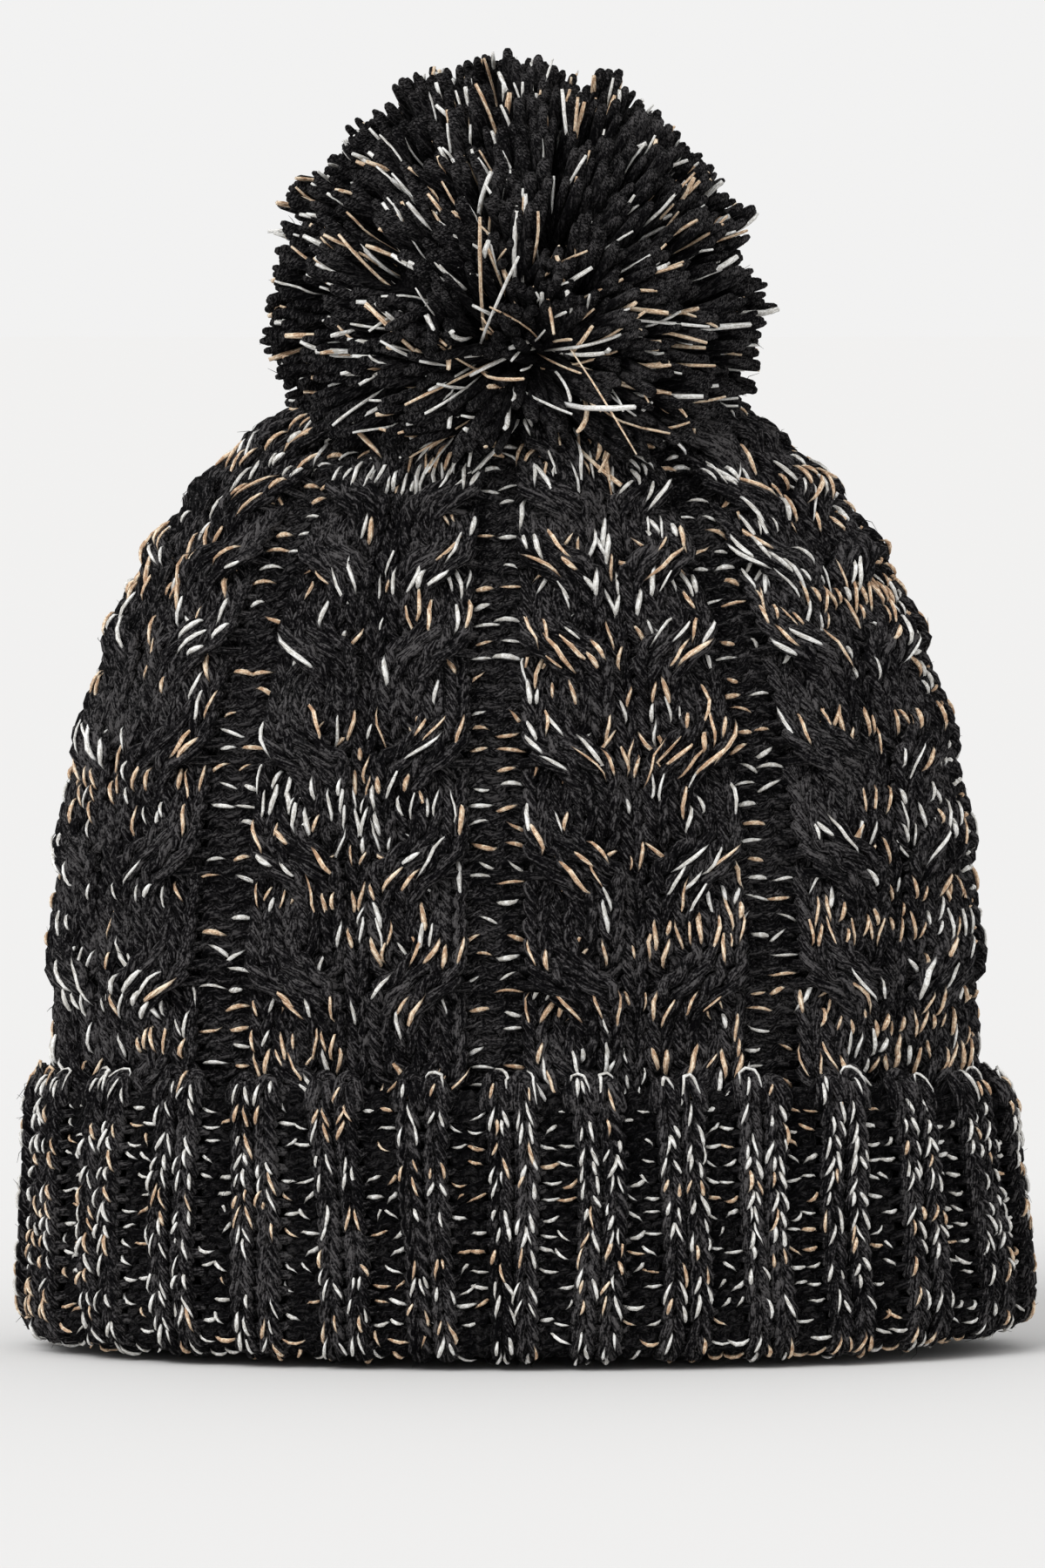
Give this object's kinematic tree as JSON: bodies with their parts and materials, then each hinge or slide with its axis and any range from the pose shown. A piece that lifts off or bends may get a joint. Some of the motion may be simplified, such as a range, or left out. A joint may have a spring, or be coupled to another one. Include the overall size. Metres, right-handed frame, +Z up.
{
  "type": "knit beanie",
  "caption": "Upright cable-knit winter hat with a ribbed turned-up cuff and a yarn pompom on a flexible tie.",
  "frame": {"origin": "middle of the head opening, at the level of the fold of the cuff that the hat stands on", "axes": "+Z up, from the fold of the cuff to the pompom; -Y the front, +Y the back with the seam; +X along the width, to the right as seen from the front"},
  "size_m": [0.2292, 0.1232, 0.291],
  "materials": {
    "crown_knit": "soft black acrylic yarn, matt and slightly fuzzy, cable knit",
    "rib_knit": "soft black acrylic yarn, matt and slightly fuzzy, rib knit",
    "pompom_yarn": "cut ends of black acrylic yarn, matt",
    "tie_yarn": "twisted black yarn",
    "cream_strand": "thin cream strand with a slight gloss",
    "tan_strand": "thin tan strand with a slight gloss",
    "label_tape": "blank woven satin tape",
    "label_thread": "spun sewing thread"
  },
  "bodies": {
    "hat": {"cable_crown": "crown_knit", "rib_band": "rib_knit", "turned_cuff": "rib_knit", "cuff_fold": "rib_knit", "cast_on_edge": "rib_knit", "back_seam": "crown_knit", "crown_gather": "crown_knit", "gather_yarn": "cream_strand", "anchor_strands": "tie_yarn", "anchor_knot": "tie_yarn", "label_stitching": "label_thread"},
    "loop": {"tie_loop": "tie_yarn"},
    "neck": {"tie_neck": "tie_yarn"},
    "pompom": {"pompom_core": "pompom_yarn", "pompom_binding": "tan_strand", "pompom_ball": "pompom_yarn"},
    "label": {"care_label": "label_tape"}
  },
  "joints": [
    {"name": "pompom_nod", "type": "hinge", "parent": "hat", "child": "loop", "pos_m": [0, 0, 0.2215], "axis": [1, 0, 0], "range_deg": [-12, 12], "stiffness_Nm_per_rad": 0.3},
    {"name": "pompom_sway", "type": "hinge", "parent": "loop", "child": "neck", "pos_m": [0, 0, 0.2215], "axis": [0, 1, 0], "range_deg": [-6, 6], "stiffness_Nm_per_rad": 0.3},
    {"name": "pompom_twist", "type": "hinge", "parent": "neck", "child": "pompom", "pos_m": [0, 0, 0.2215], "axis": [0, 0, 1], "range_deg": [-45, 45], "stiffness_Nm_per_rad": 0.02},
    {"name": "label_flap", "type": "hinge", "parent": "hat", "child": "label", "pos_m": [0, 0.0408, 0.086], "axis": [-1, 0, 0], "range_deg": [0, 75]}
  ]
}
